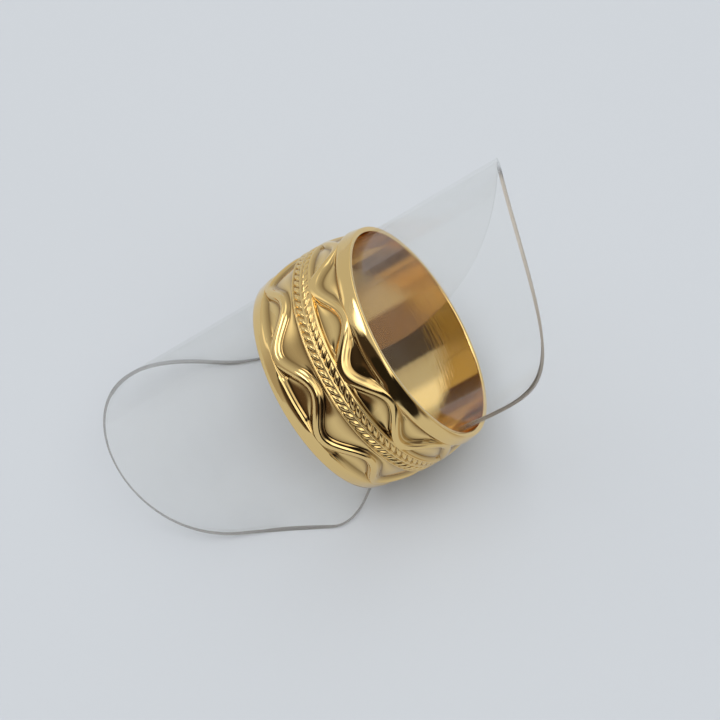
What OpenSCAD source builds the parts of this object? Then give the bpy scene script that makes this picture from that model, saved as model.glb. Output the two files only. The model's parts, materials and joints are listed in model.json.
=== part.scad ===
// Wide band ring with raised waves and a rope, leaning on a clear sheet that is
// rolled up and pushed through it. Millimetres, +Z up, floor at Z = 0.
// The origin is on the floor, under the middle of the whole object.

/* [Ring] */
// Inside radius of the band, the finger hole
bore_r = 9; // [8:0.1:10.5]
// Width of the band along its axis
band_w = 9.6; // [8.8:0.1:10.4]
// Outside radius at the two edges of the band
rim_r = 9.42; // [9.4:0.01:9.6]
// Outside radius of the relief at the middle of the band
crown_r = 10; // [9.9:0.01:10.3]
// Lean of the ring's axis above the floor, in degrees
lean = 35.5; // [33:0.5:38]

/* [Relief] */
// Width of the plain flat rim at each edge
rim_w = 1.15; // [0.9:0.05:1.3]
// Softened outer corner of each rim
rim_soft = 0.08; // [0.04:0.01:0.12]
// Depth of the hollows between the raised lines
relief_d = 0.38; // [0.2:0.01:0.4]
// Distance over which the side of a raised line slopes down
wall_run = 0.4; // [0.2:0.01:0.42]
// Number of times each wave swings out and back around the ring
waves = 8; // [4:1:10]
// Flat width of a wave's top
wave_w = 0.6; // [0.4:0.02:0.8]
// Distance from the middle of the band to a wave's middle line
wave_mid = 2.41; // [2.3:0.01:2.5]
// How far a wave swings to each side of its middle line
wave_swing = 0.93; // [0.7:0.01:0.95]
// Angle of the first wave crest from the top of the ring
wave_start = 15; // [0:1:44]
// Distance of the rope's middle from the middle of the band
rope_off = 0.34; // [0:0.01:0.4]
// Width of the rope's two strands together
rope_w = 1.72; // [1.2:0.02:1.8]
// Twists of the rope for each swing of a wave
twists = 10; // [6:1:12]
// Depth of the notch between two twists
twist_d = 0.24; // [0.1:0.01:0.28]
// How far a twist slants along the rope from the middle to its edge
twist_slant = 0.45; // [0:0.05:0.5]

/* [Sheet] */
// Thickness of the clear sheet
sheet_t = 0.3; // [0.2:0.05:0.3]
// Radius of the rolled sheet, to the middle of its thickness
roll_r = 8.66; // [8.5:0.01:8.7]
// Half of the sheet's length along the ring's axis, before it was rolled
sheet_half_len = 19.9; // [19.7:0.1:20.1]
// Half of the sheet's width around the roll, before it was rolled
sheet_half_wid = 21.4; // [21.35:0.05:21.5]
// Shift of the sheet's middle along the ring's axis
sheet_slip = -1.1; // [-1.2:0.05:-0.9]
// Distance from the ring's middle at which the low end begins to spread
spread_from = 4.9; // [4.9:0.1:6]
// Length over which it spreads
spread_run = 5; // [5:0.5:9]
// How far it opens: 0 stays round, 1 has straight sides, 2 turns outwards
spread = 1.9; // [1:0.1:2]

/* [Hidden] */
$fn = 160;

// Angle in degrees of one unit of arc at radius one
turn = 180 / PI;

// Stations around the ring: one on each twist and one in each notch
stations = 2 * waves * twists;
step = 360 / stations;
// Radius of the waste that the finger hole cuts away
waste_r = bore_r - 0.4;
// Least width left where two raised lines run together
sliver = 0.02;
rim_in = band_w / 2 - rim_w;
strand = rope_w / 2;
line_half = 0.07;

// Sheet mesh: points around its edge and rings from its middle out
sheet_around = 72;
sheet_rings = 12;
// Half of the arch that stays round along the whole sheet
arch_half = 14.7;

// The corner of the low rim that stands on the floor sets the ring's height
foot_z = band_w / 2 - rim_soft;
ring_z = foot_z * sin(lean) + top_r(foot_z) * cos(lean);

function clamp(v, low, high) = min(max(v, low), high);
function ease(v) = let (c = clamp(v, 0, 1)) c * c * (3 - 2 * c);

// Outside radius of the raised surfaces at a distance z from the band's middle
function top_r(z) = rim_r + (crown_r - rim_r) * (1 - pow(2 * z / band_w, 2));

// Middle line of a wave, as its distance from the middle of the band
function wave_z(angle) = wave_mid + wave_swing * cos(waves * (angle - wave_start));

// Half of a wave's width along the band's axis, more where the wave slants
function wave_half(angle) =
    let (slope = waves * wave_swing * sin(waves * (angle - wave_start)) / crown_r)
    wave_w / 2 * sqrt(1 + slope * slope);

// A hollow between two raised edges: its two floor corners, shallower where narrow
function hollow(z0, z1) =
    let (
        gap = z1 - z0,
        run = min(wall_run, gap / 2.5),
        d = relief_d * clamp(gap / (2 * wall_run), 0, 1)
    )
    [[z0 + run, top_r(z0 + run) - d], [z1 - run, top_r(z1 - run) - d]];

function raised(z) = [z, top_r(z)];

// Rim, wave and hollows on one side, from the band's edge to the rope's edge at z_in
function flank(angle, side, z_in) =
    let (
        c = wave_z(angle),
        half = wave_half(angle),
        out = min(c + half, rim_in - 3 * sliver),
        inn = max(c - half, z_in + 3 * sliver),
        low = hollow(out, rim_in),
        near = hollow(z_in, inn),
        points = [
            [band_w / 2, rim_r - rim_soft],
            raised(band_w / 2 - rim_soft),
            raised(rim_in),
            low[1], low[0],
            raised(out), raised(inn),
            near[1], near[0]
        ]
    )
    [for (p = points) [side * p.x, p.y, 0]];

// The rope across the band: edge line, strand, middle line, strand, edge line.
// Each point is [z, radius, slant along the ring]
function rope(twist_up) =
    let (
        notch = twist_up ? 0 : twist_d,
        marks = [
            [-strand, 0], [-strand + line_half, 0.5], [-strand / 2, 1], [-line_half, 0.7],
            [0, 0],
            [line_half, 0.7], [strand / 2, 1], [strand - line_half, 0.5], [strand, 0]
        ]
    )
    [for (m = marks)
        let (z = rope_off + m.x)
        [z, top_r(z) - notch * m.y, -twist_slant * abs(m.x) / strand]];

function reversed(list) = [for (i = [len(list) - 1:-1:0]) list[i]];

// One closed section of the band: low edge to high edge outside, then back inside
function section(i) =
    let (angle = i * step)
    concat(
        flank(angle, -1, strand - rope_off),
        rope(i % 2 == 0),
        reversed(flank(angle, 1, strand + rope_off)),
        [[band_w / 2, waste_r, 0], [-band_w / 2, waste_r, 0]]
    );

function around(i) = [
    for (p = section(i))
        let (a = i * step + p.z / top_r(p.x) * turn)
        [p.y * cos(a), p.y * sin(a), p.x]
];

// Triangles of a surface that closes on itself around both ways
function torus_faces(n, m) = [
    for (i = [0:n - 1], j = [0:m - 1])
        let (
            a = i * m + j,
            b = i * m + (j + 1) % m,
            c = (i + 1) % n * m + (j + 1) % m,
            d = (i + 1) % n * m + j
        )
        each [[a, b, c], [a, c, d]]
];

module relief_band() {
    rows = [for (i = [0:stations - 1]) around(i)];
    polyhedron(
        points = [for (row = rows) each row],
        faces = torus_faces(stations, len(rows[0])),
        convexity = 10
    );
}

module place_ring() {
    translate([object_x, 0, ring_z])
        rotate([0, 90 - lean, 0])
            rotate([0, 0, 180])
                children();
}

module wave_ring() {
    color("#d9b056")
        place_ring()
            difference() {
                relief_band();
                cylinder(r = bore_r, h = 2 * band_w, center = true);
            }
}

// Bend of the sheet's lower walls at s along the axis, as one over a radius
function wall_bend(s) =
    (1 - spread * ease((-s - spread_from) / spread_run)) / roll_r;

// A point of the rolled sheet across the axis: l is the way around from the top line,
// off the distance outwards from the middle of the thickness. Gives [side, up]
function rolled(l, s, off) =
    let (
        arch = min(abs(l), arch_half),
        rest = abs(l) - arch,
        k = wall_bend(s),
        bend = abs(k) < 0.001 ? 0.001 : k,
        a0 = arch / roll_r * turn,
        a1 = a0 + rest * bend * turn,
        x = roll_r * sin(a0) + (sin(a1) - sin(a0)) / bend,
        y = roll_r * cos(a0) + (cos(a1) - cos(a0)) / bend
    )
    [sign(l) * (x + off * sin(a1)), y + off * cos(a1)];

// The same point in the object's own axes, never below the floor
function sheet_point(u, angle, off) =
    let (
        l = sheet_half_wid * u * cos(angle),
        s = sheet_slip + sheet_half_len * u * sin(angle),
        p = rolled(l, s, off),
        z = ring_z + s * sin(lean) + p.y * cos(lean)
    )
    [s * cos(lean) - p.y * sin(lean), p.x, max(z, 0)];

function sheet_skin(off) = concat(
    [sheet_point(0, 0, off)],
    [for (j = [1:sheet_rings], i = [0:sheet_around - 1])
        sheet_point(j / sheet_rings, i * 360 / sheet_around, off)]
);

sheet_points = concat(sheet_skin(sheet_t / 2), sheet_skin(-sheet_t / 2));
sheet_x = [for (p = sheet_points) p.x];
// Puts the origin under the middle of the sheet, which reaches furthest both ways
object_x = -(min(sheet_x) + max(sheet_x)) / 2;

function ring_at(j, i) = 1 + (j - 1) * sheet_around + i % sheet_around;

function skin_faces(first, flip) = [
    for (f = concat(
        [for (i = [0:sheet_around - 1]) [0, ring_at(1, i), ring_at(1, i + 1)]],
        [for (j = [1:sheet_rings - 1], i = [0:sheet_around - 1]) each [
            [ring_at(j, i), ring_at(j + 1, i), ring_at(j + 1, i + 1)],
            [ring_at(j, i), ring_at(j + 1, i + 1), ring_at(j, i + 1)]
        ]]
    ))
        flip ? [f[2] + first, f[1] + first, f[0] + first] : [f[0] + first, f[1] + first, f[2] + first]
];

module clear_sheet() {
    inner = len(sheet_points) / 2;
    edge = [for (i = [0:sheet_around - 1])
        let (
            a = ring_at(sheet_rings, i),
            b = ring_at(sheet_rings, i + 1)
        )
        each [[a, inner + a, inner + b], [a, inner + b, b]]];
    color("#dfe6ea", 0.35)
        translate([object_x, 0, 0])
            polyhedron(
                points = sheet_points,
                faces = concat(skin_faces(0, false), skin_faces(inner, true), edge),
                convexity = 10
            );
}

wave_ring();
clear_sheet();
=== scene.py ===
"""A gold wave ring that leans on a clear sheet, rolled up and pushed through it.

The ring's relief is one fine mesh: a rim at each edge, two waves, and a rope of two
twisted strands between three fine lines. The sheet is a thin clear shell.
"""

import json
import math

import bpy
import numpy as np
from mathutils import Matrix, Vector


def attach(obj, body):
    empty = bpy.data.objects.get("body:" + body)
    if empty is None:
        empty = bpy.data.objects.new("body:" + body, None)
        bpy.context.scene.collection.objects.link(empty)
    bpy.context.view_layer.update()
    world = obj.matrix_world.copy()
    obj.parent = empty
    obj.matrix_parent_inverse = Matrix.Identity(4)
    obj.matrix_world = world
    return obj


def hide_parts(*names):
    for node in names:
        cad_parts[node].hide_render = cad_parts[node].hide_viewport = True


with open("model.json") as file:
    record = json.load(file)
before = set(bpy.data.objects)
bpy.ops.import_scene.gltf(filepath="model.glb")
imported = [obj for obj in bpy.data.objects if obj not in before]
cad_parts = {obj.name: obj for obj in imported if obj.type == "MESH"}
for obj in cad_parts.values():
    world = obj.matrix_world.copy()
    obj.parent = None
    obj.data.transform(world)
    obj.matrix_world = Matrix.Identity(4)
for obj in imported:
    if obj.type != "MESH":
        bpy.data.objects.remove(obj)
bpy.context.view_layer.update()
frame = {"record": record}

MM = 0.001

# Ring, in millimetres. z is the distance from the band's middle along its axis
BORE_R = 9.0
BAND_W = 9.6
RIM_R = 9.42
CROWN_R = 10.0
RIM_W = 1.15
RIM_SOFT = 0.08
RELIEF_D = 0.38
WAVES = 8
WAVE_HALF = 0.26
WAVE_MID = 2.41
WAVE_SWING = 0.93
WAVE_START = math.radians(15)
# Finger hole: radius of its soft corners, and how far in from the band's edge the column lies
# that keeps its wall's shading straight
HOLE_SOFT = 0.1
HOLE_STRAIGHT = 0.16

# Rope: how far its middle is from the band's middle, and from there the end of its middle line,
# of the strand and of the outer line
ROPE_MID = 0.34
LINE_IN = 0.12
LINE_OUT = 0.70
ROPE_HALF = 0.86
TWISTS = 80
TWIST_LEAN = 1.0
TWIST_D = 0.22
# How far below the dome its lines and strands have their tops, and how far a strand's sides fall
ROPE_LOW = 0.03
STRAND_FALL = 0.13
# The higher these powers, the flatter a lump's top is along the strand, and the strand's across
LUMP_POWER = 2.4
STRAND_POWER = 2.5
# Depths in the rope at which its painted shade, partly dirt, begins to show, and is whole
DIRT_AND_SHADE_FROM = 0.1
DIRT_AND_SHADE_FULL = 0.24

# Raised lines: how far their rounded tops fall at the edge, and on the rims over what distance
WAVE_FALL = 0.09
ROPE_FALL = 0.08
LOW_RIM_CROWN = (0.08, 0.28)
HIGH_RIM_CROWN = (0.06, 0.25)
# The sides of waves and rims that face the raised end are wide, and the others steep.
# They go down in two soft steps, and the rope's in one:
# places as shares of the side's width, and depths there as shares of the hollow's depth
WIDE_RUN = 0.46
STEEP_RUN = 0.3
ROPE_RUN = 0.22
SIDE_X = np.array([0.20, 0.36, 0.50, 0.70, 0.86, 1.0])
STEPS = np.array([0.28, 0.45, 0.49, 0.77, 0.95, 1.0])
SLOPE = np.array([0.16, 0.38, 0.56, 0.80, 0.94, 1.0])
# Least width of a hollow, and most of its width that one side takes
LEAST_GAP = 0.03
SIDE_MOST = 0.45
# How much deeper the middle of a hollow's floor is, as a share of its depth
DISH = 0.08
# How much painted shade, partly polish and dirt left there, lies at SIDE_X's places down a side, and
# across the floor
SIDE_DIRT_AND_SHADE = np.array([0.2, 0.35, 0.5, 0.65, 0.85, 1.0])
FLOOR_DIRT_AND_SHADE = (0.4, 0.12, 0.0, 0.12, 0.4)

# Sheet, in millimetres, as in the part's source
SHEET_T = 0.3
ROLL_R = 8.66
SHEET_HALF_LEN = 19.9
SHEET_HALF_WID = 21.4
SHEET_SLIP = -1.1
ARCH_HALF = 14.7
SPREAD_FROM = 4.9
SPREAD_RUN = 5.0
SPREAD = 1.9

# Photo's camera: pinhole of 2200 pixels for a picture 720 pixels wide
CAMERA_ROUND = -9.95
CAMERA_UP = 55.0
CAMERA_DISTANCE = 0.1777
CAMERA_LENS = 110.0
CAMERA_SENSOR = 36.0
CAMERA_CLIP = (0.01, 10)
# Point that the camera looks at, from the ring's centre
CAMERA_AIM = Vector((-0.00097, 0.0, -0.00013))


def ring_axes():
    """The ring's own axes in the row frame, as columns: up, near side and axis, with its centre."""
    hole = next(m for m in frame["record"]["mounts"] if m["name"] == "finger_hole")
    axis = Vector(hole["axis"]).normalized()
    near = Vector((0, -1, 0))
    up = near.cross(axis)
    turn = Matrix((up, near, axis)).transposed()
    return np.array(turn), np.array(hole["pos_m"])


RING_TURN, RING_CENTRE = ring_axes()


def to_row(points):
    """Points in the ring's own axes and millimetres, moved to the row frame in metres."""
    return points * MM @ RING_TURN.T + RING_CENTRE


def fade(x, start, end):
    """From 0 at start to 1 at end, without a kink at either."""
    share = np.clip((x - start) / (end - start), 0, 1)
    return share * share * (3 - 2 * share)


def across(x, start, end):
    """Where x is from start to end, as -1 at the start, 0 halfway and 1 at the end."""
    return (2 * x - start - end) / (end - start)


def add_values(mesh, name, values):
    """A number for each point of a mesh, which its material can read."""
    attribute = mesh.attributes.new(name, "FLOAT", "POINT")
    attribute.data.foreach_set("value", np.asarray(values, dtype=np.float32).ravel())


def mesh_object(name, points, faces):
    mesh = bpy.data.meshes.new(name)
    mesh.from_pydata([tuple(p) for p in points], [], faces)
    mesh.validate()
    obj = bpy.data.objects.new(name, mesh)
    bpy.context.scene.collection.objects.link(obj)
    return obj


# Relief. Every depth is measured in from the band's domed outside


def top_r(z):
    """Outside radius of the domed band."""
    return RIM_R + (CROWN_R - RIM_R) * (1 - (2 * z / BAND_W) ** 2)


def wave_line(angle):
    """A wave's distance from the band's middle, and how many times its width a cut along z is."""
    swing = WAVES * (angle - WAVE_START)
    slope = WAVES * WAVE_SWING * np.sin(swing) / CROWN_R
    return WAVE_MID + WAVE_SWING * np.cos(swing), np.sqrt(1 + slope**2)


def strand_depth(turn, v):
    """Depth across one strand of the rope: slanted lumps, one for each whole turn."""
    lump = np.abs(2 * (turn % 1) - 1) ** LUMP_POWER
    w = np.clip(np.abs(across(v, LINE_IN, LINE_OUT)), 0, 1)
    return ROPE_LOW + STRAND_FALL * w**STRAND_POWER + TWIST_D * lump * np.sqrt(1 - w**2)


def line_depth(w):
    """Depth across one of the rope's fine rounded lines, with its top at 0 and its edges at 1."""
    return ROPE_LOW + (ROPE_FALL - ROPE_LOW) * w**2


def rope_depth(turn, v):
    """Depth at v from the rope's middle: two strands between three fine lines."""
    middle = line_depth(v / LINE_IN)
    outer = line_depth(across(v, LINE_OUT, ROPE_HALF))
    return np.where(v < LINE_IN, middle, np.where(v > LINE_OUT, outer, strand_depth(turn, v)))


def rope_lean(v):
    """How far the rope's mesh leans along the ring at v, so that its rows follow the lumps."""
    middle = (LINE_IN + LINE_OUT) / 2
    lean = TWIST_LEAN * (np.clip(v, LINE_IN, LINE_OUT) - middle)
    return lean * (1 - fade(v, LINE_OUT, ROPE_HALF))


# Ring mesh. Its rows are closed outlines of the band, eight to a twist of the rope

STATIONS = TWISTS * 8
# Its columns follow the raised lines. They lie at shares of a hollow's floor and of a wave's
# half width, and at distances from the rim's inner edge and from the rope's middle
FLOOR_SHARES = (0.15, 0.32, 0.5, 0.68, 0.85)
WAVE_SHARES = (-1, -0.8, -0.5, 0, 0.5, 0.8, 1)
RIM_STEPS = (0, 0.08, 0.18, 0.3, 0.45, 0.7)
ROPE_STEPS = (0, 0.06, 0.12, 0.16, 0.22, 0.3, 0.38, 0.46, 0.54, 0.61, 0.66, 0.7, 0.74, 0.78, 0.82)


def hollow(z0, z1, run0, run1, fall0, fall1, side0=STEPS):
    """Columns across a hollow: its first side, its dished floor and its second side.

    Each column is a place, a depth and its share of painted shade, which is partly dirt.
    """
    gap = z1 - z0
    share = np.clip(gap / (run0 + run1), 0, 1)
    depth = RELIEF_D * share
    run0 = np.minimum(run0, SIDE_MOST * gap)
    run1 = np.minimum(run1, SIDE_MOST * gap)

    def side(start, run, fall, depths):
        drop = np.maximum(depth - fall, 0)
        return [(start + x * run, fall + drop * d, share * dirt_and_shade)
                for x, d, dirt_and_shade in zip(SIDE_X, depths, SIDE_DIRT_AND_SHADE)]

    start, end = z0 + run0, z1 - run1
    floor = []
    for place, dirt_and_shade in zip(FLOOR_SHARES, FLOOR_DIRT_AND_SHADE):
        dish = 1 + DISH * (1 - across(place, 0, 1) ** 2)
        floor.append((start + (end - start) * place, depth * dish, share * dirt_and_shade))
    return side(z0, run0, fall0, side0) + floor + side(z1, -run1, fall1, STEPS)[::-1]


def openness(gap):
    """Share of a raised line's own rounding that shows beside a hollow of this width."""
    return fade(gap, 0, WIDE_RUN + STEEP_RUN)


def flank(angle, side):
    """Columns from the rope's edge out to the rim on one side: places, depths and painted shade,
    which is partly dirt.
    """
    ones = np.ones_like(angle)
    unmarked = np.zeros_like(angle)
    edge = ones * (ROPE_HALF + side * ROPE_MID)
    rim = ones * (BAND_W / 2 - RIM_W)
    middle, stretch = wave_line(angle)
    inn = np.maximum(middle - WAVE_HALF * stretch, edge + LEAST_GAP)
    out = np.minimum(middle + WAVE_HALF * stretch, rim - LEAST_GAP)
    inn_fall = WAVE_FALL * openness(inn - edge)
    out_fall = WAVE_FALL * openness(rim - out)
    rim_fall, rim_run = HIGH_RIM_CROWN if side > 0 else LOW_RIM_CROWN
    rim_fall = rim_fall * openness(rim - out)
    outward, inward = (WIDE_RUN, STEEP_RUN) if side > 0 else (STEEP_RUN, WIDE_RUN)

    columns = [(edge, ROPE_FALL * ones, unmarked)]
    columns += hollow(edge, inn, ROPE_RUN * ones, inward * stretch, ROPE_FALL, inn_fall, SLOPE)
    for share in WAVE_SHARES:
        fall = inn_fall if share < 0 else out_fall
        columns.append(((inn + out) / 2 + (out - inn) / 2 * share, fall * share**2, unmarked))
    columns += hollow(out, rim, outward * stretch, inward * ones, out_fall, rim_fall)
    for step in RIM_STEPS:
        columns.append((rim + step, rim_fall * max(0, 1 - step / rim_run) ** 2, unmarked))
    places, depths, dirt_and_shade_parts = (np.stack(part, axis=1) for part in zip(*columns))
    return side * places, depths, dirt_and_shade_parts


def crease_columns():
    """Which of a flank's columns are crisp: the edges of the wave, the rim and the floors."""
    down = [False] * (len(SIDE_X) - 1) + [True]
    dip = down + [False] * len(FLOOR_SHARES) + down[::-1]
    wave = [True] + [False] * (len(WAVE_SHARES) - 2) + [True]
    return [False] + dip + wave + dip + [True] + [False] * (len(RIM_STEPS) - 1)


def outside_columns(angle):
    """Columns of the band's outside: their z, depths, painted shade and lean, and which are crisp.
    The painted shade is partly dirt.
    """
    low_z, low_depth, low_dirt_and_shade = flank(angle, -1)
    high_z, high_depth, high_dirt_and_shade = flank(angle, 1)
    steps = np.array(ROPE_STEPS)
    v = np.ones((len(angle), 1)) * np.concatenate([-steps[:0:-1], steps])
    turn = (angle * TWISTS / math.tau)[:, None]
    rope = rope_depth(turn, np.abs(v))
    z = np.concatenate([low_z[:, ::-1], ROPE_MID + v, high_z], axis=1)
    depth = np.concatenate([low_depth[:, ::-1], rope, high_depth], axis=1)
    # Painted shade, partly dirt, in the rope's grooves, growing with their depth
    rope_dirt_and_shade = fade(rope, DIRT_AND_SHADE_FROM, DIRT_AND_SHADE_FULL)
    dirt_and_shade = np.concatenate([low_dirt_and_shade[:, ::-1], rope_dirt_and_shade, high_dirt_and_shade], axis=1)
    beside = ((0, 0), (low_z.shape[1], high_z.shape[1]))
    lean = np.pad(rope_lean(np.abs(v)) / CROWN_R, beside)
    sharp = crease_columns()[::-1] + [False] * v.shape[1] + crease_columns()
    return z, depth, dirt_and_shade, lean, sharp


def hole_columns():
    """Columns of the finger hole, as z and radius.

    Its corners are soft, and the column beside each of them keeps the wall there straight.
    """
    edge = BAND_W / 2
    soft = HOLE_SOFT * np.array([0, 0.3, 1])
    inward = np.concatenate([soft, [HOLE_STRAIGHT, edge / 2]])
    wider = np.concatenate([soft[::-1], [0, 0]])
    z = np.concatenate([edge - inward, [0], inward[::-1] - edge])
    return z, BORE_R + np.concatenate([wider, [0], wider[::-1]])


def ring_rows():
    """The band's closed outline at each station: angle, z, radius and painted shade, partly dirt, of
    its columns.

    Then which of the columns are crisp, and how many of the last ones are the finger hole's.
    """
    angle = np.arange(STATIONS) * math.tau / STATIONS
    column = np.ones((STATIONS, 1))
    z, depth, dirt_and_shade, lean, sharp = outside_columns(angle)
    r = top_r(z) - depth
    # the rims' outer corners, each a quarter round in two steps
    corner = RIM_SOFT * np.array([0, 0.29, 1])
    corner_z = BAND_W / 2 - corner
    corner_r = top_r(corner_z) - corner[::-1]
    hole_z, hole_r = hole_columns()
    z = np.concatenate([column * -corner_z, z, column * corner_z[::-1], column * hole_z], axis=1)
    r = np.concatenate([column * corner_r, r, column * corner_r[::-1], column * hole_r], axis=1)
    before, after = len(corner), len(corner) + len(hole_z)
    dirt_and_shade = np.pad(dirt_and_shade, ((0, 0), (before, after)))
    turned = angle[:, None] - np.pad(lean, ((0, 0), (before, after)))
    sharp = [False] * before + sharp + [False] * after
    return turned, z, r, dirt_and_shade, sharp, len(hole_z)


def make_ring():
    angle, z, r, dirt_and_shade, sharp, in_hole = ring_rows()
    n, m = z.shape
    local = np.stack([r * np.cos(angle), r * np.sin(angle), z], axis=-1).reshape(-1, 3)
    faces = []
    for i in range(n):
        row, after = i * m, (i + 1) % n * m
        for j in range(m):
            k = (j + 1) % m
            faces.append((row + j, after + j, after + k, row + k))
    obj = mesh_object("gold_ring", to_row(local), faces)
    mesh = obj.data
    mesh.polygons.foreach_set("use_smooth", np.ones(len(faces), dtype=bool))
    of_hole = np.arange(len(faces)) % m >= m - in_hole
    mesh.polygons.foreach_set("material_index", of_hole.astype(np.int32))

    column = np.arange(n * m) % m
    ends = np.empty(len(mesh.edges) * 2, dtype=np.int32)
    mesh.edges.foreach_get("vertices", ends)
    first, second = column[ends.reshape(-1, 2)].T
    crease = mesh.attributes.new("sharp_edge", "BOOLEAN", "EDGE")
    crease.data.foreach_set("value", (first == second) & np.array(sharp)[first])
    place = mesh.attributes.new("ring_place", "FLOAT_VECTOR", "POINT")
    place.data.foreach_set("vector", local.astype(np.float32).ravel())
    # Painted shade, partly dirt, in the hollows, which the gold material reads
    add_values(mesh, "dirt_and_shade", dirt_and_shade)
    return obj


# Sheet. Its mesh is two skins of rings round a middle point, joined by the cut edge

SHEET_AROUND = 256
SHEET_RINGS = 56
# Above 1, this power brings the rings closer near the edge, so its outline stays clean
RING_POWER = 1.15
# Least height of each skin over the floor
OUTSIDE_FLOOR = 0.02
INSIDE_FLOOR = 0.2
# Least bend of a wall, as one over a radius, which keeps the roll's formulas finite
STRAIGHT = 0.001
# Lengths round from the top line between which the sheet begins to rub on the band, and how
# far past the band's edges the rubbing fades. There its haze is thicker, and painted gold brown as
# light from the band
RUB_AND_GOLD_LIGHT_SPAN = (13.5, 16.5)
RUB_AND_GOLD_LIGHT_SOFT = 0.6
# Where the cutter ground the edge, as spans of the sine and the cosine of the angle round the
# sheet: they grow towards the raised end and the near side, and GROUND_LOW_FAR is the other way
GROUND_RAISED = (0.12, 0.32)
GROUND_NEAR = (-1 / 4, -1 / 12)
GROUND_LOW_FAR = (0.15, 0.4)
# Its share at the low end's far side, and the least share that makes the dull band wide
LOW_GROUND = 0.35
WIDE_FROM = 0.05
# How dull the cut edge is where it isn't ground: at the raised end's far side and the low end
FAR_EDGE = 0.12
LOW_EDGE = 0.6
# The sheet's material slots
OUTSIDE, INSIDE, CUT_EDGE = range(3)


def wall_bend(s):
    """Bend of the sheet's lower walls at s along the axis, as one over a radius."""
    return (1 - SPREAD * fade(-s, SPREAD_FROM, SPREAD_FROM + SPREAD_RUN)) / ROLL_R


def rolled(length, s, off):
    """Across the axis, the sheet's point at length round from the top line, as up and near side."""
    arch = np.minimum(np.abs(length), ARCH_HALF)
    wall = np.abs(length) - arch
    bend = wall_bend(s)
    bend = np.where(np.abs(bend) < STRAIGHT, STRAIGHT, bend)
    arch_turn = arch / ROLL_R
    turn = arch_turn + wall * bend
    side = ROLL_R * np.sin(arch_turn) + (np.sin(turn) - np.sin(arch_turn)) / bend
    up = ROLL_R * np.cos(arch_turn) + (np.cos(turn) - np.cos(arch_turn)) / bend
    return up + off * np.cos(turn), np.sign(length) * (side + off * np.sin(turn))


def sheet_place(u, angle):
    """Length round from the top line and s along the axis, at u of the way out to the edge."""
    return SHEET_HALF_WID * u * np.cos(angle), SHEET_SLIP + SHEET_HALF_LEN * u * np.sin(angle)


def sheet_points(u, angle, off):
    """Points of a skin, off outwards from halfway through the sheet, kept above the floor."""
    length, s = sheet_place(u, angle)
    up, side = rolled(length, s, off)
    points = to_row(np.stack([up, side, s], axis=-1))
    floor = OUTSIDE_FLOOR if off > 0 else INSIDE_FLOOR
    points[..., 2] = np.maximum(points[..., 2], floor * MM)
    return points


def rubbed_and_gold_lit(u, angle):
    """Where the sheet's lower walls rub on the band, from 0 to 1: there the haze is thicker, and
    painted with the band's gold light.
    """
    length, s = sheet_place(u, angle)
    return fade(np.abs(length), *RUB_AND_GOLD_LIGHT_SPAN) * fade(np.abs(s), BAND_W / 2 + RUB_AND_GOLD_LIGHT_SOFT, BAND_W / 2)


def ground_edge(angle):
    """Where the cut edge is wide and ground dull, from 0 to 1.

    That is at the raised end's near side, and less so at the low end's far side.
    """
    raised, near = np.sin(angle), np.cos(angle)
    raised_near = fade(raised, *GROUND_RAISED) * fade(near, *GROUND_NEAR)
    low_far = fade(-raised, *GROUND_LOW_FAR) * fade(-near, *GROUND_LOW_FAR)
    return np.maximum(raised_near, LOW_GROUND * low_far)


def make_sheet():
    angle = np.arange(SHEET_AROUND) * math.tau / SHEET_AROUND
    u = 1 - (1 - np.linspace(0, 1, SHEET_RINGS + 1)[1:]) ** RING_POWER
    skins = []
    for off in (SHEET_T / 2, -SHEET_T / 2):
        middle = sheet_points(np.zeros(1), np.zeros(1), off)
        rings = sheet_points(u[:, None], angle[None, :], off).reshape(-1, 3)
        skins.append(np.concatenate([middle, rings]))
    inner = len(skins[0])
    last = SHEET_RINGS - 1

    def at(j, i):
        return 1 + j * SHEET_AROUND + i % SHEET_AROUND

    # strips from the middle out, each with its last face in the edge's slot where that is wide
    wide = ground_edge(angle)
    faces, slots = [], []
    for skin, first in ((OUTSIDE, 0), (INSIDE, inner)):
        for i in range(SHEET_AROUND):
            strip = [[first, first + at(0, i), first + at(0, i + 1)]]
            for j in range(last):
                corners = ((j, i), (j + 1, i), (j + 1, i + 1), (j, i + 1))
                strip.append([first + at(*corner) for corner in corners])
            faces += strip if skin == OUTSIDE else [face[::-1] for face in strip]
            slots += [skin] * last + [CUT_EDGE if wide[i] > WIDE_FROM else skin]
    for i in range(SHEET_AROUND):
        a, b = at(last, i), at(last, i + 1)
        faces.append([b, a, inner + a, inner + b])
        slots.append(CUT_EDGE)
    obj = mesh_object("rolled_sheet", np.concatenate(skins), faces)
    mesh = obj.data
    of_skin = np.arange(len(faces)) < len(faces) - SHEET_AROUND
    mesh.polygons.foreach_set("use_smooth", of_skin)
    mesh.polygons.foreach_set("material_index", np.array(slots, dtype=np.int32))

    # Where the sheet rubs on the band: thicker haze there, painted with the band's gold light
    add_values(mesh, "rubbed_and_gold_lit", np.tile(np.append(0, rubbed_and_gold_lit(u[:, None], angle)), 2))
    ground = np.zeros((2, inner))
    ground[:, at(last, 0):] = np.maximum(wide, np.where(np.sin(angle) > 0, FAR_EDGE, LOW_EDGE))
    ground[:, at(last - 1, 0):at(last, 0)] = wide
    add_values(mesh, "ground", ground)
    return obj


# Materials


def new_material(name):
    material = bpy.data.materials.new(name)
    material.use_nodes = True
    tree = material.node_tree
    shader = tree.nodes["Principled BSDF"]
    return material, tree, shader


def stored(tree, name, output="Fac"):
    """What the mesh stores at its points under this name."""
    node = tree.nodes.new("ShaderNodeAttribute")
    node.attribute_name = name
    return node.outputs[output]


def own_place(tree):
    """Place on the object, in metres."""
    return tree.nodes.new("ShaderNodeTexCoord").outputs["Object"]


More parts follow.
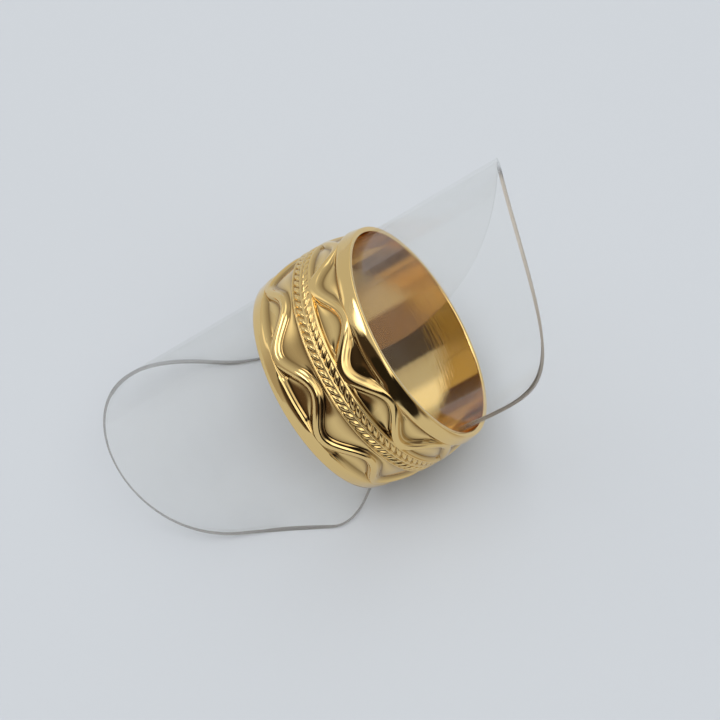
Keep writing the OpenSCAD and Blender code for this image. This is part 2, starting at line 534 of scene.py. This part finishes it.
def noise(tree, grain, vector):
    """Noise from 0 to 1 over places. Its grain is a pair: how fine it is, and its detail."""
    node = tree.nodes.new("ShaderNodeTexNoise")
    node.inputs["Scale"].default_value, node.inputs["Detail"].default_value = grain
    tree.links.new(vector, node.inputs["Vector"])
    return node.outputs["Fac"]


def ramp(tree, value, low, high):
    """A value from 0 to 1, stretched to go from low to high."""
    node = tree.nodes.new("ShaderNodeMapRange")
    node.inputs["To Min"].default_value = low
    node.inputs["To Max"].default_value = high
    tree.links.new(value, node.inputs["Value"])
    return node.outputs["Result"]


def bump(tree, height, distance, strength):
    node = tree.nodes.new("ShaderNodeBump")
    node.inputs["Distance"].default_value = distance
    node.inputs["Strength"].default_value = strength
    tree.links.new(height, node.inputs["Height"])
    return node.outputs["Normal"]


def math_node(tree, operation, a, b=None):
    """A step of arithmetic on one or two values, each a plain number or a node's output."""
    node = tree.nodes.new("ShaderNodeMath")
    node.operation = operation
    for socket, value in zip(node.inputs, (a, b)):
        if isinstance(value, (int, float)):
            socket.default_value = value
        elif value is not None:
            tree.links.new(value, socket)
    return node.outputs["Value"]


def vector_node(tree, operation, way, vector, output="Vector"):
    """A step of arithmetic on a node's vector and a plain one."""
    node = tree.nodes.new("ShaderNodeVectorMath")
    node.operation = operation
    tree.links.new(way, node.inputs[0])
    node.inputs[1].default_value = vector
    return node.outputs[output]


def mixed(tree, share, first, second):
    """Colour between two, each a plain colour or a node's output."""
    node = tree.nodes.new("ShaderNodeMix")
    node.data_type = "RGBA"
    tree.links.new(share, node.inputs["Factor"])
    # the node has sockets of each kind: inputs 6 and 7 and output 2 are the ones for colours
    for socket, colour in zip(node.inputs[6:8], (first, second)):
        if isinstance(colour, tuple):
            socket.default_value = colour
        else:
            tree.links.new(colour, socket)
    return node.outputs[2]


def mixed_shader(tree, share, first, second):
    node = tree.nodes.new("ShaderNodeMixShader")
    tree.links.new(share, node.inputs["Fac"])
    tree.links.new(first, node.inputs[1])
    tree.links.new(second, node.inputs[2])
    return node.outputs["Shader"]


GOLD = (0.86, 0.61, 0.255, 1)
# Darker, browner gold painted into corners and hollows: painted shade, partly polish dirt
DIRT_AND_SHADE_GOLD = (0.33, 0.205, 0.075, 1)
GOLD_ROUGHNESS = (0.05, 0.11)
BORE_ROUGHNESS = 0.035
# Grains of the noise in the outside's roughness and in its waviness
CLOUDS = (400, 2)
WAVINESS = (700, 1)
# Depth of the marks of polishing, in metres, and how much they show outside and in the hole
POLISH_D = 0.02 * MM
WAVINESS_STRENGTH = 0.5
STREAK_STRENGTH = 0.3
# The fine lines in the finger hole: how often they change each way, in 1/mm, and their grain
STREAKS = (0.35, 0.35, 9.0)
STREAK_GRAIN = (1.0, 4)


def gold_material():
    """Polished yellow gold, slightly wavy from hand polishing, with darker, browner gold painted into
    its corners and hollows as shade, partly as polish dirt.
    """
    material, tree, shader = new_material("polished_gold")
    shader.inputs["Metallic"].default_value = 1.0
    # Painted shade, partly dirt: the gold turns darker and browner in the hollows
    colour = mixed(tree, stored(tree, "dirt_and_shade"), GOLD, DIRT_AND_SHADE_GOLD)
    tree.links.new(colour, shader.inputs["Base Color"])
    place = own_place(tree)
    rough = ramp(tree, noise(tree, CLOUDS, place), *GOLD_ROUGHNESS)
    tree.links.new(rough, shader.inputs["Roughness"])
    waves = bump(tree, noise(tree, WAVINESS, place), POLISH_D, WAVINESS_STRENGTH)
    tree.links.new(waves, shader.inputs["Normal"])
    return material


def bore_material():
    """The same gold inside the finger hole, where polishing left fine lines round it."""
    material, tree, shader = new_material("polished_bore")
    shader.inputs["Base Color"].default_value = GOLD
    shader.inputs["Metallic"].default_value = 1.0
    shader.inputs["Roughness"].default_value = BORE_ROUGHNESS
    stretched = vector_node(tree, "MULTIPLY", stored(tree, "ring_place", "Vector"), STREAKS)
    lines = bump(tree, noise(tree, STREAK_GRAIN, stretched), POLISH_D, STREAK_STRENGTH)
    tree.links.new(lines, shader.inputs["Normal"])
    return material


# The colour that a skin of the sheet lets through, and the colours that its fine scratches
# scatter: pale grey, and where it rubs on the band a gold brown, which is painted light from the gold
CLEAR = (0.982, 0.983, 0.98, 1)
HAZE = (0.78, 0.77, 0.76, 1)
RUBBED_HAZE_GOLD_LIGHT = (0.8, 0.45, 0.17, 1)
# How much of the light the scratches scatter, and how much smears add to that or take from it
HAZE_SHARE = 0.014
RUBBED_SHARE = 0.14
SMEAR_SHARE = 0.05
SMEARS = (130, 3)
# The skins' soft gloss: its roughness, its index, and how much of it each skin has
SKIN_ROUGHNESS = 0.2
SKIN_IOR = 1.28
OUTSIDE_GLOSS = 0.1
INSIDE_GLOSS = 0.14
# The cut edge where it is clear, painted near black as shade for the dark that a clear edge shows,
# and where it is ground dull. Its roughness varies in clouds, and the cutter's chatter left marks
# this deep, in metres
PAINTED_DARK_EDGE = (0.02, 0.02, 0.02, 1)
GROUND_EDGE = (0.4, 0.36, 0.315, 1)
EDGE_ROUGHNESS = (0.15, 0.6)
EDGE_CLOUDS = (1500, 2)
CHATTER = (2500, 2)
CHATTER_D = 0.05 * MM
CHATTER_STRENGTH = 0.8


def clear_shader(tree):
    through = tree.nodes.new("ShaderNodeBsdfTransparent")
    through.inputs["Color"].default_value = CLEAR
    return through.outputs["BSDF"]


def clear_material(name, gloss_share):
    """Clear plastic: see-through, with a little haze and a soft gloss that grows at low angles. Where
    it rubs on the band, its haze is thicker and painted with the band's gold light.
    """
    material, tree, shader = new_material(name)
    tree.nodes.remove(shader)
    rub_and_gold_light = stored(tree, "rubbed_and_gold_lit")
    scratches = tree.nodes.new("ShaderNodeBsdfDiffuse")
    # Painted light: where the sheet rubs on the band, its haze is gold brown, as if lit by the gold
    tree.links.new(mixed(tree, rub_and_gold_light, HAZE, RUBBED_HAZE_GOLD_LIGHT), scratches.inputs["Color"])
    smears = ramp(tree, noise(tree, SMEARS, own_place(tree)), -SMEAR_SHARE, SMEAR_SHARE)
    share = math_node(tree, "ADD", ramp(tree, rub_and_gold_light, HAZE_SHARE, RUBBED_SHARE), smears)
    hazy = mixed_shader(tree, share, clear_shader(tree), scratches.outputs["BSDF"])
    gloss = tree.nodes.new("ShaderNodeBsdfGlossy")
    gloss.inputs["Color"].default_value = (1, 1, 1, 1)
    gloss.inputs["Roughness"].default_value = SKIN_ROUGHNESS
    fresnel = tree.nodes.new("ShaderNodeFresnel")
    fresnel.inputs["IOR"].default_value = SKIN_IOR
    weaker = math_node(tree, "MULTIPLY", fresnel.outputs["Fac"], gloss_share)
    skin = mixed_shader(tree, weaker, hazy, gloss.outputs["BSDF"])
    tree.links.new(skin, tree.nodes["Material Output"].inputs["Surface"])
    return material


def cut_edge_material():
    """The cut edge: brownish grey and dull where the cutter ground it, and clearer elsewhere, where
    its colour is painted near black as shade.
    """
    material, tree, shader = new_material("cut_edge")
    ground = stored(tree, "ground")
    pale = math_node(tree, "MULTIPLY", ground, ground)
    # Painted shade: where the edge is clear, its colour is near black
    tree.links.new(mixed(tree, pale, PAINTED_DARK_EDGE, GROUND_EDGE), shader.inputs["Base Color"])
    edge = mixed_shader(tree, ground, clear_shader(tree), shader.outputs["BSDF"])
    tree.links.new(edge, tree.nodes["Material Output"].inputs["Surface"])
    place = own_place(tree)
    rough = ramp(tree, noise(tree, EDGE_CLOUDS, place), *EDGE_ROUGHNESS)
    tree.links.new(rough, shader.inputs["Roughness"])
    chatter = bump(tree, noise(tree, CHATTER, place), CHATTER_D, CHATTER_STRENGTH)
    tree.links.new(chatter, shader.inputs["Normal"])
    return material


# Room. Its soft patches of light and dark: direction as degrees round from the near side
# and degrees up, half sizes in degrees, softness of the rim, share, and colour

LIGHTS_AND_DARKS = {
    "ceiling": (70, 66, 55, 19, 0.5, 1.0, (1.6, 1.6, 1.52)),
    "high_right": (40, 48, 22, 13, 0.5, 1.0, (1.5, 1.5, 1.42)),
    "low_left": (-122, 25, 14, 12, 0.9, 0.8, (1.2, 1.2, 1.15)),
    "right_olive": (75, 14, 26, 20, 0.8, 0.8, (0.26, 0.24, 0.19)),
    "right_brown": (50, -8, 15, 24, 0.5, 0.9, (0.33, 0.28, 0.2)),
    "left_dim": (-80, 14, 30, 16, 0.8, 0.6, (0.3, 0.26, 0.22)),
    "low_brown": (-42, 17, 33, 20, 0.3, 1.0, (0.1, 0.07, 0.052)),
    "near_brown": (22, 10, 13, 20, 0.4, 0.9, (0.08, 0.05, 0.035)),
    "far_dark": (-62, 27, 15, 8, 0.25, 1.0, (0.06, 0.045, 0.035)),
    "high_dark": (-46, 43, 27, 12, 0.35, 1.0, (0.045, 0.035, 0.03)),
    "upper_dark": (-24, 31, 15, 12, 0.3, 1.0, (0.02, 0.017, 0.015)),
    "middle_dark": (-9, 16, 10, 15, 0.3, 1.0, (0.02, 0.017, 0.015)),
    "near_dark": (6, 12, 13, 24, 0.25, 1.0, (0.015, 0.013, 0.013)),
    "near_window": (6, 47, 9, 7, 0.4, 1.0, (2.2, 2.2, 2.1)),
    "window": (-92, 62, 17, 8, 0.3, 1.0, (4.0, 4.0, 3.9)),
}
# Those painted as shade on the floor's colour too, which shows only where the gold mirrors the floor
FLOOR_PAINTED_DARKS = ("right_brown", "low_brown", "near_brown", "near_dark")
ROOM = (0.6, 0.62, 0.64, 1)
FLOOR = (0.481, 0.504, 0.541, 1)
FLOOR_ROUGHNESS = 0.6
FLOOR_HALF = 1.5
# The top light: strength in watts per square metre, breadth, and the way in which it shines
TOP_LIGHT = 1.4
TOP_LIGHT_BREADTH = math.radians(40)
TOP_LIGHT_WAY = Vector((0.15, 0.35, -1))


def direction(round_deg, up_deg):
    """Unit vector: degrees round from the near side towards +X, and degrees up."""
    a, e = math.radians(round_deg), math.radians(up_deg)
    return Vector((math.sin(a) * math.cos(e), -math.cos(a) * math.cos(e), math.sin(e)))


def patch_share(tree, way, patch):
    """How much of a patch shows in a direction, from 0 to its full share."""
    around, up, half_round, half_up, soft, share, _ = patch
    centre = direction(around, up)
    right = direction(around + 90, 0)
    top = centre.cross(right)
    squares = []
    for side, half in ((right, half_round), (top, half_up)):
        part = vector_node(tree, "DOT_PRODUCT", way, side / math.sin(math.radians(half)), "Value")
        squares.append(math_node(tree, "MULTIPLY", part, part))
    out = math_node(tree, "SQRT", math_node(tree, "ADD", *squares))
    edge = tree.nodes.new("ShaderNodeMapRange")
    edge.interpolation_type = "SMOOTHSTEP"
    edge.inputs["From Min"].default_value = 1 + soft / 2
    edge.inputs["From Max"].default_value = 1 - soft / 2
    edge.inputs["To Max"].default_value = share
    tree.links.new(out, edge.inputs["Value"])
    ahead = vector_node(tree, "DOT_PRODUCT", way, centre, "Value")
    front = math_node(tree, "GREATER_THAN", ahead, 0.0)
    return math_node(tree, "MULTIPLY", edge.outputs["Result"], front)


def floor_material():
    """Pale floor. Only where the gold mirrors it, its colour has painted dark patches: painted shade,
    standing in for dark things around it.
    """
    material, tree, shader = new_material("pale_floor")
    shader.inputs["Roughness"].default_value = FLOOR_ROUGHNESS
    shader.inputs["Specular IOR Level"].default_value = 0.0
    place = tree.nodes.new("ShaderNodeNewGeometry").outputs["Position"]
    way = tree.nodes.new("ShaderNodeVectorMath")
    way.operation = "NORMALIZE"
    tree.links.new(vector_node(tree, "SUBTRACT", place, RING_CENTRE), way.inputs[0])
    mirrored = tree.nodes.new("ShaderNodeLightPath").outputs["Is Glossy Ray"]
    colour = FLOOR
    # Painted shade: these patches darken the floor's colour only in the gold's mirror images
    for name in FLOOR_PAINTED_DARKS:
        patch = LIGHTS_AND_DARKS[name]
        share = math_node(tree, "MULTIPLY", patch_share(tree, way.outputs["Vector"], patch), mirrored)
        colour = mixed(tree, share, colour, (*patch[-1], 1))
    tree.links.new(colour, shader.inputs["Base Color"])
    return material


def make_floor():
    half = FLOOR_HALF
    points = [(-half, -half, 0), (half, -half, 0), (half, half, 0), (-half, half, 0)]
    floor = mesh_object("floor", points, [(0, 1, 2, 3)])
    floor.data.materials.append(floor_material())


def make_world():
    """Pale soft surroundings, with soft lights high up and dark things at the near side and left."""
    world = bpy.data.worlds.new("soft_room")
    bpy.context.scene.world = world
    world.use_nodes = True
    tree = world.node_tree
    background = tree.nodes["Background"]
    way = tree.nodes.new("ShaderNodeTexCoord").outputs["Generated"]
    colour = ROOM
    for patch in LIGHTS_AND_DARKS.values():
        colour = mixed(tree, patch_share(tree, way, patch), colour, (*patch[-1], 1))
    seen = tree.nodes.new("ShaderNodeLightPath").outputs["Is Camera Ray"]
    tree.links.new(mixed(tree, seen, colour, ROOM), background.inputs["Color"])


def make_top_light():
    """Very soft light from high above the near side, for the ring's shadow. It isn't mirrored."""
    data = bpy.data.lights.new("top_light", "SUN")
    data.energy = TOP_LIGHT
    data.angle = TOP_LIGHT_BREADTH
    light = bpy.data.objects.new("top_light", data)
    light.rotation_euler = TOP_LIGHT_WAY.to_track_quat("-Z", "Y").to_euler()
    light.visible_glossy = False
    bpy.context.scene.collection.objects.link(light)


def make_camera():
    data = bpy.data.cameras.new("camera")
    data.lens = CAMERA_LENS
    data.sensor_width = CAMERA_SENSOR
    data.clip_start, data.clip_end = CAMERA_CLIP
    camera = bpy.data.objects.new("camera", data)
    bpy.context.scene.collection.objects.link(camera)
    back = direction(CAMERA_ROUND, CAMERA_UP)
    camera.location = Vector(RING_CENTRE) + CAMERA_AIM + back * CAMERA_DISTANCE
    camera.rotation_euler = back.to_track_quat("Z", "Y").to_euler()
    bpy.context.scene.camera = camera


make_camera()
make_floor()
make_world()
make_top_light()
bpy.context.scene.view_settings.view_transform = "Standard"
# light goes back and forth between the band and the sheet's skins many times
bpy.context.scene.cycles.glossy_bounces = 12
bpy.context.scene.cycles.transparent_max_bounces = 40

ring = make_ring()
ring.data.materials.append(gold_material())
ring.data.materials.append(bore_material())
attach(ring, "root")
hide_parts("wave_ring")

sheet = make_sheet()
sheet.data.materials.append(clear_material("clear_outside", OUTSIDE_GLOSS))
sheet.data.materials.append(clear_material("clear_inside", INSIDE_GLOSS))
sheet.data.materials.append(cut_edge_material())
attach(sheet, "root")
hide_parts("clear_sheet")
